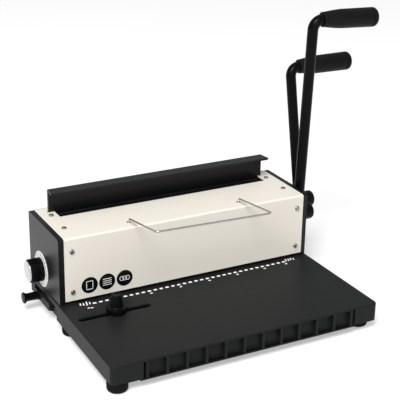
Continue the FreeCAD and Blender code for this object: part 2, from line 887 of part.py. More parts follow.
def lever_points(y, z, tube_x, reach, lean, droop):
    """Corner points of a lever: its hub, its bend and the tube's end in the grip."""
    angle = math.radians(lean)
    fall = math.radians(droop)
    corner = Vector(tube_x, y - reach * math.sin(angle), z + reach * math.cos(angle))
    along = Vector(math.cos(fall), 0, -math.sin(fall))
    return [Vector(tube_x, y, z), corner, corner + along * (tube_bend + grip_length - grip_end)]


def lever(y, z, tube_x, reach, lean, droop):
    """Bent steel tube, cut to sit on its hub."""
    points = lever_points(y, z, tube_x, reach, lean, droop)
    tube = pipe(points, tube_bend, tube_radius).cut(pipe(points, tube_bend, tube_radius - tube_wall))
    return tube.cut(rod_x(hub_radius, around(tube_x, hub_beyond), y, z))


def grip(y, z, tube_x, reach, lean, droop):
    """Soft grip, narrow where it starts, with a ring groove before its round end."""
    corner = lever_points(y, z, tube_x, reach, lean, droop)[1]
    start = corner.x + tube_bend
    end = start + grip_length
    bore = tube_radius + fit
    groove = end - grip_round - 3
    profile = [(start, bore), (start, grip_neck - 1), (start + 1, grip_neck),
               (start + grip_taper, grip_radius - 0.4), (groove - 1, grip_radius),
               (groove - 0.5, grip_radius - grip_ring),
               (groove + 0.5, grip_radius - grip_ring), (groove + 1, grip_radius), (end, grip_radius),
               (end, 0), (end - grip_end + 1, 0), (end - grip_end + 1, bore)]
    shape = turned_x(profile, corner.y, corner.z)
    shape = rounded(shape, grip_round, lambda b: near(b.XMin, end) and b.ZLength > grip_radius)
    shape.rotate(corner, Vector(0, 1, 0), droop)
    return shape


def closer_boss():
    """Boss on the right plate that carries the closer's shaft out past the punch lever."""
    x = (plate_face, closer_tube_x - hub_within - seat)
    return rod_x(shaft_radius + bush_wall, x, closer_y, closer_z).cut(
        rod_x(shaft_radius + fit, (x[0] - 1, x[1] + 1), closer_y, closer_z))


def crank_pin_place():
    """Where the crank pins stand with the closer open, as (y, z)."""
    return (closer_y - crank_radius * math.cos(crank_swing), closer_z + crank_radius * math.sin(crank_swing))


def crank_span(side):
    inner = bracket_inner - crank_thick - crank_side
    return side_span(side, inner, inner + crank_thick)


def closer_cranks():
    """Crank arms on the closer's shaft, tapering to the pin's boss."""
    y, z = crank_pin_place()
    along = Vector(0, y - closer_y, z - closer_z).normalize()
    across = Vector(0, -along.z, along.y)
    slant = math.asin((crank_hub - crank_boss) / crank_radius)
    result = []
    for side in (-1, 1):
        x = crank_span(side)
        corners = []
        ends = ((Vector(x[0], closer_y, closer_z), crank_hub), (Vector(x[0], y, z), crank_boss))
        for centre, radius in ends:
            for way in (1, -1):
                touch = along * (radius * math.sin(slant)) + across * (way * radius * math.cos(slant))
                corners.append(centre + touch)
        outline = [corners[0], corners[1], corners[3], corners[2]]
        arm = face_of(outline).extrude(Vector(x[1] - x[0], 0, 0))
        solid = joined([arm, rod_x(crank_hub, x, closer_y, closer_z), rod_x(crank_boss, x, y, z)])
        far = (x[0] - 1, x[1] + 1)
        result.append(solid.cut([rod_x(shaft_radius + fit, far, closer_y, closer_z),
                                 rod_x(crank_pin_radius + fit, far, y, z)]))
    return result


def crank_pins():
    """Pins that reach from the cranks through the slots of the closer's brackets."""
    y, z = crank_pin_place()
    start = bracket_inner - crank_thick - crank_side
    end = bracket_inner + bracket_thick + crank_side
    return [rod_x(crank_pin_radius, side_span(side, start, end), y, z) for side in (-1, 1)]


def closer_bar():
    """Angle bar that closes the wire: an upright web and a flange that looks forward."""
    x = around(0, closer_half)
    under = cover_top + closer_gap
    top = under + flange_thick
    front = web_back - flange_depth
    low = cover_top - web_below
    outline = [(web_front, low), (web_back, low), (web_back, top), (front, top), (front, under),
               (web_front, under)]
    bar = along_x(outline, x)
    bar = rounded(bar, bar_bend, lambda b: lengthwise(b, web_back, top))
    bar = rounded(bar, 1.0, lambda b: lengthwise(b, front, top) or lengthwise(b, web_front, under))
    bar = joined([bar] + [flange_end(side, front, under, top) for side in (-1, 1)])
    hole = bracket_screw_radius + fit
    return bar.cut([rod_y(hole, x, (web_front - 1, web_back + 1), z) for x, z in bracket_screw_places()])


def flange_end(side, front, under, top):
    """The flange's slanted end, a wedge that is widest at its front edge."""
    corners = [(closer_half, front + 1), (closer_half + flange_flare, front + 1), (closer_half, web_front)]
    start = [Vector(side * x, y, under) for x, y in corners]
    return face_of(start).extrude(Vector(0, 0, top - under))


def bracket_screw_places():
    x = bracket_inner - ear_width / 2
    rises = (bracket_screw_low, bracket_screw_high)
    return [(side * x, closer_z + rise) for side in (-1, 1) for rise in rises]


def closer_brackets():
    """Plates on the bar's web, each with a slot for the crank pin and a fork over the shaft."""
    pin_y, pin_z = crank_pin_place()
    front = closer_y - crank_radius - crank_slot - bracket_lip
    step = web_front - bracket_step
    fork = shaft_radius + 0.5
    top = cover_under - bracket_top
    foot = stop_top + closer_travel
    low = foot - bracket_drop
    result = []
    for side in (-1, 1):
        x = side_span(side, bracket_inner, bracket_inner + bracket_thick)
        plate = along_x([(front, foot), (step, foot), (step, low), (web_front, low), (web_front, top),
                         (front + bracket_corner, top), (front, top - bracket_corner)], x)
        ear = box(side_span(side, bracket_inner - ear_width, bracket_inner),
                  (web_front - ear_thick, web_front), (closer_z + ear_low, closer_z + ear_high))
        far = (x[0] - 1, x[1] + 1)
        cuts = [
            rod_x(fork, far, closer_y, closer_z + closer_travel),
            box(far, around(closer_y, fork), (low - 1, closer_z + closer_travel)),
            rod_x(crank_slot, far, closer_y - crank_radius, pin_z),
            rod_x(crank_slot, far, pin_y, pin_z),
            box(far, (closer_y - crank_radius, pin_y), around(pin_z, crank_slot)),
        ]
        hole = bracket_screw_radius + fit
        cuts += [rod_y(hole, sx, (step, web_front + 1), sz) for sx, sz in bracket_screw_places()]
        result.append(joined([plate, ear]).cut(cuts))
    return result


def bracket_screws():
    return [joined([rod_y(bracket_head_radius, x, (web_back, web_back + bracket_head_height), z),
                    rod_y(bracket_screw_radius, x, (web_front - ear_thick, web_back), z)])
            for x, z in bracket_screw_places()]


def closer_guides():
    """Grooved blocks on the side plates that the web's ends slide in."""
    z = (tray_top + guide_rise, cover_top - guide_below)
    result = []
    for side in (-1, 1):
        inner = bracket_inner + bracket_thick + guide_gap
        block = box(side_span(side, inner, body_half), (web_front - guide_wall, web_back + guide_wall), z)
        groove = box(side_span(side, inner - 1, closer_half + seat), (web_front - seat, web_back + seat),
                     (z[0] - 1, z[1] + 1))
        result.append(block.cut(groove))
    return result


def closer_springs():
    """Springs under the brackets that lift the closer again."""
    z = (tray_top + fit, stop_top + closer_travel - bracket_drop - fit)
    x = bracket_inner + bracket_thick / 2
    y = web_front - bracket_step / 2
    return [spring(spring_wire, closer_spring_radius, closer_spring_turns, side * x, y, z)
            for side in (-1, 1)]


def closer_anvil():
    """Channel under the slot, with a groove along its top where the wire lies."""
    top = cover_top - anvil_sunk
    y = (slot_front + anvil_lead, slot_front + anvil_lead + anvil_width)
    channel = box(around(0, anvil_half), y, (top - anvil_height, top))
    inside = box(around(0, anvil_half + 1), (y[0] + anvil_wall, y[1] - anvil_wall), (0, top - anvil_wall - 1))
    groove = rod_x(anvil_seat, around(0, anvil_half + 1), (y[0] + y[1]) / 2, top + anvil_seat - anvil_groove)
    return channel.cut([inside, groove])


def anvil_stands():
    """Bent plates that carry the anvil from the tray, behind the closer's shaft."""
    back = slot_front + anvil_lead + anvil_width - anvil_wall
    top = cover_top - anvil_sunk - anvil_wall - 1
    heel = tray_top + stand_thick
    front = back - stand_thick
    toe = back + stand_foot
    outline = [(front, tray_top), (toe, tray_top), (toe, heel), (back, heel), (back, top), (front, top)]
    x = anvil_half - stand_inset
    return [along_x(outline, around(side * x, stand_width / 2)) for side in (-1, 1)]


def dial_plate():
    """Round scale on the left plate."""
    disc = rod_x(dial_radius, (-plate_face - dial_sheet, -plate_face), dial_y, dial_z)
    disc = rounded(disc, dial_sheet / 2, lambda b: near(b.XMax, -plate_face - dial_sheet))
    return disc.cut(rod_x(dial_shaft_radius + 1, (-plate_face - 9, -plate_face + 9), dial_y, dial_z))


def dial_start():
    return -plate_face - dial_sheet - seat


def dial_knob():
    """Ribbed knob."""
    x = (dial_start() - dial_knob_length, dial_start())
    body = rod_x(dial_knob_radius, x, dial_y, dial_z)
    body = rounded(body, 1.2, lambda b: near(b.XMax, x[0]))
    cuts = [rod_x(dial_shaft_radius + fit, (x[0] + 2, x[1] + 1), dial_y, dial_z)]
    cuts.append(rod_x(dial_cap_radius + fit, (x[0] - 1, x[0] + 0.8), dial_y, dial_z))
    for index in range(dial_rib_count):
        angle = 2 * math.pi * index / dial_rib_count
        y = dial_y + (dial_knob_radius + 0.4) * math.cos(angle)
        z = dial_z + (dial_knob_radius + 0.4) * math.sin(angle)
        cuts.append(rod_x(1.2, (x[0] - 1, x[1] - 3), y, z))
    return body.cut(cuts)


def dial_cap():
    """Bright disc let into the knob's face."""
    x = dial_start() - dial_knob_length + 0.8
    cap = rod_x(dial_cap_radius, (x - dial_cap_thick, x), dial_y, dial_z)
    return rounded(cap, 0.6, lambda b: near(b.XMax, x - dial_cap_thick))


def dial_shaft():
    return rod_x(dial_shaft_radius, (dial_start() - dial_knob_length + 2, -bracket_inner), dial_y, dial_z)


def dial_bush():
    """Flanged bush for the dial's shaft in the left plate."""
    inner_end = -body_half + bush_flange
    body = rod_x(dial_bush_radius, (-plate_face, inner_end), dial_y, dial_z)
    flange = rod_x(dial_bush_radius + dial_bush_wide, (-body_half, inner_end), dial_y, dial_z)
    return joined([body, flange]).cut(rod_x(dial_shaft_radius + fit, (-plate_face - 1, 0), dial_y, dial_z))


def stop_cam():
    """Snail cam that the left bracket comes down on: the dial sets how far the closer goes."""
    growth = (stop_high - stop_low) / math.radians(stop_turn)
    points = growing_outline(stop_low, growth, stop_turn, dial_y, dial_z, math.pi / 2, -1)
    x = (-bracket_inner - bracket_thick, -bracket_inner)
    return cam_blank(points, stop_low, dial_y, dial_z, x, dial_shaft_radius + fit)


def stop_knob():
    """Paper stop: a wide rim that the sheets touch, flaring in to a narrow grip."""
    bottom = tray_top + seat
    top = bottom + stop_height
    profile = [(0, bottom), (stop_radius - 0.6, bottom), (stop_radius, bottom + 0.6),
               (stop_radius, bottom + stop_rim - 0.8), (stop_radius - 0.8, bottom + stop_rim),
               (stop_neck + 3.2, bottom + stop_rim + 2.2), (stop_neck + 1.1, bottom + stop_rim + 5.5),
               (stop_neck + 0.3, bottom + stop_rim + 10), (stop_neck, top - 1), (stop_neck - 1, top),
               (0, top)]
    knob = turned_z(profile, stop_x, slot_y)
    return knob.cut(rod_z(stud_radius + fit, stop_x, slot_y, (0, top - 5)))


def stop_stud():
    """Threaded stud that draws the clamp up under the tray."""
    bottom = tray_under - seat - 5
    return rod_z(stud_radius, stop_x, slot_y, (bottom, tray_top + stop_height - 6))


def clamp_plate():
    """Square nut plate under the slot."""
    z = (tray_under - seat - 3, tray_under - seat)
    plate = box(around(stop_x, clamp_side / 2), around(slot_y, clamp_side / 2), z)
    return plate.cut(rod_z(stud_radius + fit, stop_x, slot_y, (0, tray_top)))


def wire_hanger():
    """Bent wire on the cover's top that a comb hangs on while it is loaded, a little askew."""
    stand = cover_top + hanger_stand
    tip = stand + hanger_rise
    front = hanger_y - hanger_reach
    points = []
    for side in (-1, 1):
        foot = Vector(side * hanger_half, hanger_y, cover_top - hanger_tail)
        knee = Vector(side * hanger_half, hanger_y, stand)
        corner = Vector(side * (hanger_half + hanger_spread) + hanger_spread, front, tip - side * hanger_skew)
        points += [foot, knee, corner] if side < 0 else [corner, knee, foot]
    return pipe(points, hanger_bend, hanger_wire)


def hanger_ferrules():
    """Plastic ferrules where the wire goes through the cover."""
    result = []
    for side in (-1, 1):
        collar = rod_z(hanger_wire + 1.6, side * hanger_half, hanger_y, (cover_top, cover_top + 0.8))
        neck = rod_z(hanger_wire + 0.9, side * hanger_half, hanger_y, (cover_under - 1, cover_top))
        bore = rod_z(hanger_wire + fit, side * hanger_half, hanger_y, (cover_top - 9, cover_top + 9))
        result.append(joined([collar, neck]).cut(bore))
    return result


def main():
    os.makedirs("parts", exist_ok=True)
    save("base_tray", [base_tray()])
    save("bottom_plate", [bottom_plate()])
    save("rubber_feet", feet())
    save("foot_screws", foot_screws())
    save("drawer_rails", drawer_rails())
    save("chip_drawer", [chip_drawer()])
    save("drawer_pull", [drawer_pull()])
    save("left_side_plate", [side_plate(-1)])
    save("right_side_plate", [side_plate(1)])
    save("front_cover", [front_cover()])
    save("rear_cover", [rear_cover()])
    save("front_cover_screws", [cover_screw(x, y, z, Vector(0, -1, 0)) for x, y, z in front_screw_places()])
    save("top_cover_screws", [cover_screw(x, y, z, Vector(0, 0, 1)) for x, y, z in top_screw_places()])
    save("rear_cover_screws", [cover_screw(x, y, z, Vector(0, 1, 0)) for x, y, z in rear_screw_places()])
    save("guide_plate", [guide_plate()])
    save("die_plate", [die_plate()])
    save("die_spacers", die_spacers())
    save("back_gauge", [back_gauge()])
    save("die_screws", die_screws())
    save("guide_pins", guide_pins())
    save("punch_springs", punch_springs())
    save("punch_carrier", [punch_carrier()])
    save("punch_retainer", [punch_retainer()])
    save("retainer_screws", retainer_screws())
    save("cam_pads", cam_pads())
    save("punch_pins", punch_pins())
    save("punch_bushes", [bush(side, punch_y, punch_z) for side in (-1, 1)])
    save("closer_bushes", [bush(side, closer_y, closer_z) for side in (-1, 1)])
    save("punch_shaft", [shaft(punch_y, punch_z, punch_tube_x + hub_beyond - hub_end - 1)])
    save("closer_shaft", [shaft(closer_y, closer_z, closer_tube_x + hub_beyond - hub_end - 1)])
    save("punch_cams", punch_cams())
    save("punch_hub", [hub(punch_y, punch_z, punch_tube_x)])
    save("punch_hub_screw", [hub_screw(punch_y, punch_z, punch_tube_x)])
    save("punch_lever", [lever(punch_y, punch_z, punch_tube_x, punch_reach, punch_lean, punch_droop)])
    save("punch_grip", [grip(punch_y, punch_z, punch_tube_x, punch_reach, punch_lean, punch_droop)])
    save("closer_boss", [closer_boss()])
    save("closer_hub", [hub(closer_y, closer_z, closer_tube_x)])
    save("closer_hub_screw", [hub_screw(closer_y, closer_z, closer_tube_x)])
    save("closer_lever", [lever(closer_y, closer_z, closer_tube_x, closer_reach, closer_lean, closer_droop)])
    save("closer_grip", [grip(closer_y, closer_z, closer_tube_x, closer_reach, closer_lean, closer_droop)])
    save("closer_cranks", closer_cranks())
    save("crank_pins", crank_pins())
    save("closer_bar", [closer_bar()])
    save("closer_brackets", closer_brackets())
    save("bracket_screws", bracket_screws())
    save("closer_guides", closer_guides())
    save("closer_springs", closer_springs())
    save("closer_anvil", [closer_anvil()])
    save("anvil_stands", anvil_stands())
    save("dial_plate", [dial_plate()])
    save("dial_knob", [dial_knob()])
    save("dial_cap", [dial_cap()])
    save("dial_shaft", [dial_shaft()])
    save("dial_bush", [dial_bush()])
    save("stop_cam", [stop_cam()])
    save("stop_knob", [stop_knob()])
    save("stop_stud", [stop_stud()])
    save("clamp_plate", [clamp_plate()])
    save("wire_hanger", [wire_hanger()])
    save("hanger_ferrules", hanger_ferrules())


main()
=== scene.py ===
import bmesh
import bpy
import json
import math
from mathutils import Matrix, Vector


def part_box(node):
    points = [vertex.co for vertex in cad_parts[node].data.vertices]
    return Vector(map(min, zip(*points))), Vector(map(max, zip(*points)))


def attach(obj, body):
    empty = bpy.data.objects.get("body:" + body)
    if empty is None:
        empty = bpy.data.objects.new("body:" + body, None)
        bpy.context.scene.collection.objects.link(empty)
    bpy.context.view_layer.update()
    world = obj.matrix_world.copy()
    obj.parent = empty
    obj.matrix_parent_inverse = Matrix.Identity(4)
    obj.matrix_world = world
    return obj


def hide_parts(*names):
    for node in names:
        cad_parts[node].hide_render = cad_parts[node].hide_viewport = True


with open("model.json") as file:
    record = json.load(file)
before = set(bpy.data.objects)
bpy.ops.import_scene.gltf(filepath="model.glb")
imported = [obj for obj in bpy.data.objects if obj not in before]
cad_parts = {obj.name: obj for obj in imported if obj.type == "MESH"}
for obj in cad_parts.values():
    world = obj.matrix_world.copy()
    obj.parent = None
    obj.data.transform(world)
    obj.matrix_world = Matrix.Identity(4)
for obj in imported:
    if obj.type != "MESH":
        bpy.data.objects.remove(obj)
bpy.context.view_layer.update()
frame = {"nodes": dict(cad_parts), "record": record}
cad = frame["nodes"]
mm = 0.001
print("stage: frame loaded,", len(cad), "nodes")


# shader groups; noise scales are per metre and bump heights in metres

noise = {"detail": 3.0, "driftScale": 14.0, "grainDetail": 2.0, "grainHeight": 0.0002,
         "streakDetail": 4.0, "streakHeight": 0.0001, "streakGloss": 0.25,
         "broadScale": 40.0, "broadShade": 0.2}


def makeGroup(name, inputs):
    group = bpy.data.node_groups.new(name, "ShaderNodeTree")
    for label, kind, value in inputs:
        socket = group.interface.new_socket(name=label, in_out="INPUT", socket_type=kind)
        socket.default_value = value
    for label, kind in (("Color", "NodeSocketColor"), ("Roughness", "NodeSocketFloat"),
                        ("Normal", "NodeSocketVector")):
        group.interface.new_socket(name=label, in_out="OUTPUT", socket_type=kind)
    return group, group.nodes.new("NodeGroupInput"), group.nodes.new("NodeGroupOutput")


def mathNode(tree, operation, first, second):
    node = tree.nodes.new("ShaderNodeMath")
    node.operation = operation
    for socket, value in zip(node.inputs, (first, second)):
        if isinstance(value, (int, float)):
            socket.default_value = value
        else:
            tree.links.new(value, socket)
    return node.outputs[0]


def noiseNode(tree, coordinate, scale, detail=noise["detail"]):
    node = tree.nodes.new("ShaderNodeTexNoise")
    node.inputs["Detail"].default_value = detail
    tree.links.new(coordinate, node.inputs["Vector"])
    if isinstance(scale, (int, float)):
        node.inputs["Scale"].default_value = scale
    else:
        tree.links.new(scale, node.inputs["Scale"])
    return node.outputs["Fac"]


def closeGroup(group, enter, leave, shade, rough, height, depth, distance):
    toned = group.nodes.new("ShaderNodeVectorMath")
    toned.operation = "SCALE"
    group.links.new(enter.outputs["Color"], toned.inputs[0])
    group.links.new(shade, toned.inputs["Scale"])
    bump = group.nodes.new("ShaderNodeBump")
    bump.inputs["Distance"].default_value = distance
    group.links.new(enter.outputs[depth], bump.inputs["Strength"])
    group.links.new(height, bump.inputs["Height"])
    group.links.new(toned.outputs["Vector"], leave.inputs["Color"])
    group.links.new(rough, leave.inputs["Roughness"])
    group.links.new(bump.outputs["Normal"], leave.inputs["Normal"])
    return group


def makeCoatGroup():
    # a fine grain, cloudy gloss and a faint drift of colour
    group, enter, leave = makeGroup("coat", [
        ("Color", "NodeSocketColor", (0.5, 0.5, 0.5, 1)), ("Drift", "NodeSocketFloat", 0.08),
        ("Gloss", "NodeSocketFloat", 0.5), ("Cloud", "NodeSocketFloat", 0.08),
        ("Grain Scale", "NodeSocketFloat", 1500.0), ("Grain Depth", "NodeSocketFloat", 0.2)])
    where = group.nodes.new("ShaderNodeTexCoord").outputs["Object"]
    drift = noiseNode(group, where, noise["driftScale"])
    grain = noiseNode(group, where, enter.outputs["Grain Scale"], noise["grainDetail"])
    centred = mathNode(group, "SUBTRACT", drift, 0.5)
    darker = mathNode(group, "MULTIPLY", centred, enter.outputs["Drift"])
    shade = mathNode(group, "ADD", 1.0, darker)
    cloud = mathNode(group, "MULTIPLY", centred, enter.outputs["Cloud"])
    rough = mathNode(group, "ADD", enter.outputs["Gloss"], cloud)
    return closeGroup(group, enter, leave, shade, rough, grain, "Grain Depth",
                      noise["grainHeight"])


def makeBrushGroup():
    # drawn or turned metal: streaks along one axis in gloss and height
    group, enter, leave = makeGroup("brush", [
        ("Color", "NodeSocketColor", (0.5, 0.5, 0.5, 1)), ("Gloss", "NodeSocketFloat", 0.3),
        ("Streak", "NodeSocketVector", (20.0, 900.0, 900.0)),
        ("Streak Depth", "NodeSocketFloat", 0.1)])
    where = group.nodes.new("ShaderNodeTexCoord").outputs["Object"]
    stretched = group.nodes.new("ShaderNodeVectorMath")
    stretched.operation = "MULTIPLY"
    group.links.new(where, stretched.inputs[0])
    group.links.new(enter.outputs["Streak"], stretched.inputs[1])
    streak = noiseNode(group, stretched.outputs[0], 1.0, noise["streakDetail"])
    broad = noiseNode(group, where, noise["broadScale"])
    centred = mathNode(group, "SUBTRACT", streak, 0.5)
    spread = mathNode(group, "MULTIPLY", centred, noise["streakGloss"])
    rough = mathNode(group, "ADD", enter.outputs["Gloss"], spread)
    lighter = mathNode(group, "MULTIPLY", broad, noise["broadShade"])
    shade = mathNode(group, "ADD", 1 - noise["broadShade"] / 2, lighter)
    return closeGroup(group, enter, leave, shade, rough, streak, "Streak Depth",
                      noise["streakHeight"])


coatGroup = makeCoatGroup()
brushGroup = makeBrushGroup()


def newMaterial(name, group, settings, constant, level):
    material = bpy.data.materials.new(name)
    material.use_nodes = True
    tree = material.node_tree
    shader = tree.nodes["Principled BSDF"]
    look = tree.nodes.new("ShaderNodeGroup")
    look.node_tree = group
    for label, value in settings.items():
        look.inputs[label].default_value = value
    tree.links.new(look.outputs["Color"], shader.inputs["Base Color"])
    tree.links.new(look.outputs["Roughness"], shader.inputs["Roughness"])
    tree.links.new(look.outputs["Normal"], shader.inputs["Normal"])
    shader.inputs[constant].default_value = level
    return material


def coated(name, color, gloss, shine=0.5, drift=0.06, scale=1500.0, depth=0.2):
    settings = {"Color": (*color, 1), "Drift": drift, "Gloss": gloss,
                "Grain Scale": scale, "Grain Depth": depth}
    return newMaterial(name, coatGroup, settings, "Specular IOR Level", shine)


def brushed(name, color, gloss, streak=(20.0, 900.0, 900.0), depth=0.1):
    settings = {"Color": (*color, 1), "Gloss": gloss, "Streak": streak, "Streak Depth": depth}
    return newMaterial(name, brushGroup, settings, "Metallic", 1.0)


looks = {
    "black_coat": coated("blackCoat", (0.0045, 0.005, 0.005), 0.36, 0.25, depth=0.25),
    "tray_coat": coated("trayCoat", (0.013, 0.0145, 0.0142), 0.4, 0.09, depth=0.35),
    "cream_coat": coated("creamCoat", (0.80, 0.755, 0.675), 0.45, drift=0.02, depth=0.08),
    "rubber": coated("footRubber", (0.005, 0.005, 0.005), 0.7, 0.1, scale=700.0),
    "plated_steel": brushed("zincPlate", (0.62, 0.62, 0.60), 0.35),
    "bright_screw": brushed("nickelPlate", (0.38, 0.37, 0.34), 0.28, (600.0, 600.0, 600.0)),
    "tool_steel": brushed("groundSteel", (0.50, 0.50, 0.51), 0.25),
    "machined_steel": brushed("blackenedSteel", (0.045, 0.045, 0.047), 0.45),
    "spring_steel": brushed("drawnWire", (0.45, 0.45, 0.46), 0.3, (500.0, 500.0, 500.0)),
    "bronze": brushed("sinteredBronze", (0.52, 0.35, 0.16), 0.4, (700.0, 700.0, 700.0)),
    "chrome": brushed("chromeWire", (0.64, 0.62, 0.59), 0.18, (300.0, 300.0, 300.0), 0.03),
    "lever_steel": coated("leverEnamel", (0.0022, 0.0026, 0.0028), 0.3, 0.08, depth=0.12),
    "hub_black": coated("hubSatin", (0.004, 0.004, 0.004), 0.36, 0.09, depth=0.15),
    "grip_black": coated("gripVinyl", (0.005, 0.0053, 0.0055), 0.5, 0.12, scale=900.0,
                         depth=0.3),
    "black_plastic": coated("blackPlastic", (0.002, 0.0022, 0.0024), 0.35, 0.09, depth=0.15),
    "scale_white": coated("scaleWhite", (0.88, 0.88, 0.87), 0.35, drift=0.02, depth=0.03),
    "satin_alu": brushed("satinDisc", (0.66, 0.66, 0.66), 0.3, (100.0, 700.0, 700.0)),
}
slotOf = {part["node"]: part["material_slot"] for part in frame["record"]["subparts"]}
for node, obj in cad.items():
    obj.data.materials.clear()
    obj.data.materials.append(looks[slotOf[node]])
print("stage: materials")


# modelling helpers; a bmesh is in millimetres until its piece is finished

up = Vector((0, 0, 1))
joinWithin = {"built": 0.0005, "solid": 0.001}


def boxOf(node):
    low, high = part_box(node)
    return Vector(low) / mm, Vector(high) / mm


def turnedTo(direction):
    return up.rotation_difference(Vector(direction)).to_matrix().to_4x4()


def solidOf(node):
    bm = bmesh.new()
    bm.from_mesh(cad[node].data)
    bmesh.ops.scale(bm, vec=(1 / mm, 1 / mm, 1 / mm), verts=bm.verts)
    bmesh.ops.remove_doubles(bm, verts=bm.verts, dist=joinWithin["solid"])
    return bm


def newObject(bm, name):
    obj = bpy.data.objects.new(name, bpy.data.meshes.new(name))
    bm.to_mesh(obj.data)
    bm.free()
    bpy.context.scene.collection.objects.link(obj)
    return obj


def finishPiece(bm, name, look, body, nodes=(), sharp=35.0):
    bmesh.ops.remove_doubles(bm, verts=bm.verts, dist=joinWithin["built"])
    bmesh.ops.recalc_face_normals(bm, faces=bm.faces)
    bmesh.ops.scale(bm, vec=(mm, mm, mm), verts=bm.verts)
    for face in bm.faces:
        face.smooth = True
    obj = newObject(bm, name)
    obj.data.set_sharp_from_angle(angle=math.radians(sharp))
    obj.data.materials.append(looks[look])
    if nodes:
        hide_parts(*nodes)
    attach(obj, body)
    return obj


def addBlock(bm, low, high):
    middle = (Vector(low) + Vector(high)) / 2
    size = Vector(high) - Vector(low)
    matrix = Matrix.Translation(middle) @ Matrix.Diagonal((*size, 1))
    return bmesh.ops.create_cube(bm, size=1.0, matrix=matrix)["verts"]


def arcPoints(centre, radius, start, stop, steps=6):
    # (radius, along) points on part of a circle, in degrees
    points = []
    for step in range(steps + 1):
        angle = math.radians(start + (stop - start) * step / steps)
        points.append((centre[0] + radius * math.cos(angle), centre[1] + radius * math.sin(angle)))
    return points


def addLathe(bm, profile, centre, axis, steps=64):
    # a profile of (radius, along) points spun round an axis
    place = Matrix.Translation(centre) @ turnedTo(axis)
    verts = [bm.verts.new(place @ Vector((radius, 0, along))) for radius, along in profile]
    edges = [bm.edges.new(pair) for pair in zip(verts, verts[1:])]
    bmesh.ops.spin(bm, geom=verts + edges, cent=centre, axis=axis, dvec=(0, 0, 0),
                   angle=2 * math.pi, steps=steps, use_merge=True, use_duplicate=False)
    bmesh.ops.remove_doubles(bm, verts=bm.verts, dist=joinWithin["built"])


def bevelEdges(bm, edges, width, segments=2):
    bmesh.ops.bevel(bm, geom=edges, offset=width, offset_type="OFFSET", affect="EDGES",
                    segments=segments, profile=0.5, material=-1, clamp_overlap=True)


def pullEdges(bm, edges, move):
    grown = bmesh.ops.extrude_edge_only(bm, edges=edges)["geom"]
    verts = [part for part in grown if isinstance(part, bmesh.types.BMVert)]
    bmesh.ops.translate(bm, verts=verts, vec=move)
    return [part for part in grown if isinstance(part, bmesh.types.BMEdge)
            and all(vert in grown for vert in part.verts)]


def addTube(bm, points, bend, radius, segments=28, steps=12):
    # straight runs and round bends, closed at both ends
    ahead = (points[1] - points[0]).normalized()
    place = Matrix.Translation(points[0]) @ turnedTo(ahead)
    ring = bmesh.ops.create_circle(bm, cap_ends=False, segments=segments, radius=radius,
                                   matrix=place)["verts"]
    first = list({edge for vert in ring for edge in vert.link_edges})
    edges = first
    here = points[0]
    for corner, after in zip(points[1:], points[2:]):
        leaving = (after - corner).normalized()
        turn = ahead.angle(leaving)
        cut = bend * math.tan(turn / 2)
        touch = corner - ahead * cut
        edges = pullEdges(bm, edges, touch - here)
        axis = ahead.cross(leaving).normalized()
        verts = list({vert for edge in edges for vert in edge.verts})
        spun = bmesh.ops.spin(bm, geom=verts + edges, cent=touch + axis.cross(ahead) * bend,
                              axis=axis, dvec=(0, 0, 0), angle=turn, steps=steps,
                              use_merge=False, use_duplicate=False)
        edges = [part for part in spun["geom_last"] if isinstance(part, bmesh.types.BMEdge)]
        here = corner + leaving * cut
        ahead = leaving
    edges = pullEdges(bm, edges, points[-1] - here)
    bmesh.ops.edgeloop_fill(bm, edges=first)
    bmesh.ops.edgeloop_fill(bm, edges=edges)


# coated sheet metal and the tray: the solids' own shapes with their sharp edges eased

easing = {"tray": 0.35, "plates": 0.45, "cover": 0.3, "rear": 0.25, "bar": 0.7, "drawer": 0.25,
          "sharperThan": 40.0, "flatWithin": 0.5}
coverBend = {"radius": 5.0, "tighter": 2.4, "slack": 0.01}
coverLow, coverHigh = boxOf("front_cover")


def tightenBend(bm):
    # the cover's top front bend is drawn in, round a centre nearer the corner
    centreY, centreZ = coverLow.y + coverBend["radius"], coverHigh.z - coverBend["radius"]
    shift = coverBend["tighter"]
    for vert in bm.verts:
        y, z = vert.co.y - centreY, vert.co.z - centreZ
        if y < coverBend["slack"] and z > -coverBend["slack"]:
            grow = 1 - shift / math.hypot(y, z)
            vert.co.y = centreY - shift + y * grow
            vert.co.z = centreZ + shift + z * grow


def softenNode(node, name, body, width, look=None, reshape=None):
    bm = solidOf(node)
    if reshape:
        reshape(bm)
    bmesh.ops.dissolve_limit(bm, angle_limit=math.radians(easing["flatWithin"]),
                             use_dissolve_boundaries=False, verts=bm.verts, edges=bm.edges)
    edges = [edge for edge in bm.edges if len(edge.link_faces) == 2
             and edge.calc_face_angle(0) > math.radians(easing["sharperThan"])]
    bevelEdges(bm, edges, width)
    obj = finishPiece(bm, name, look or slotOf[node], body, [node])
    obj.modifiers.new("evenShade", "WEIGHTED_NORMAL").keep_sharp = True


softenNode("base_tray", "tray", "frame", easing["tray"], "tray_coat")
softenNode("left_side_plate", "leftPlate", "frame", easing["plates"])
softenNode("right_side_plate", "rightPlate", "frame", easing["plates"])
softenNode("front_cover", "frontCover", "frame", easing["cover"], reshape=tightenBend)
softenNode("rear_cover", "rearCover", "frame", easing["rear"])
softenNode("closer_bar", "closerBar", "closer", easing["bar"])
softenNode("chip_drawer", "chipDrawer", "drawer", easing["drawer"], "tray_coat")
print("stage: sheet metal")


# screws with a cross recess

screw = {"headRadius": 3.3, "headHeight": 1.8, "domed": 1.0, "crown": 0.12,
         "crossSpan": 3.7, "crossWidth": 1.25, "crossDepth": 1.2, "crossAbove": 1.0,
         "crossTaper": 0.8, "firstTurn": 25.0, "nextTurn": 37.0, "sharp": 30.0}


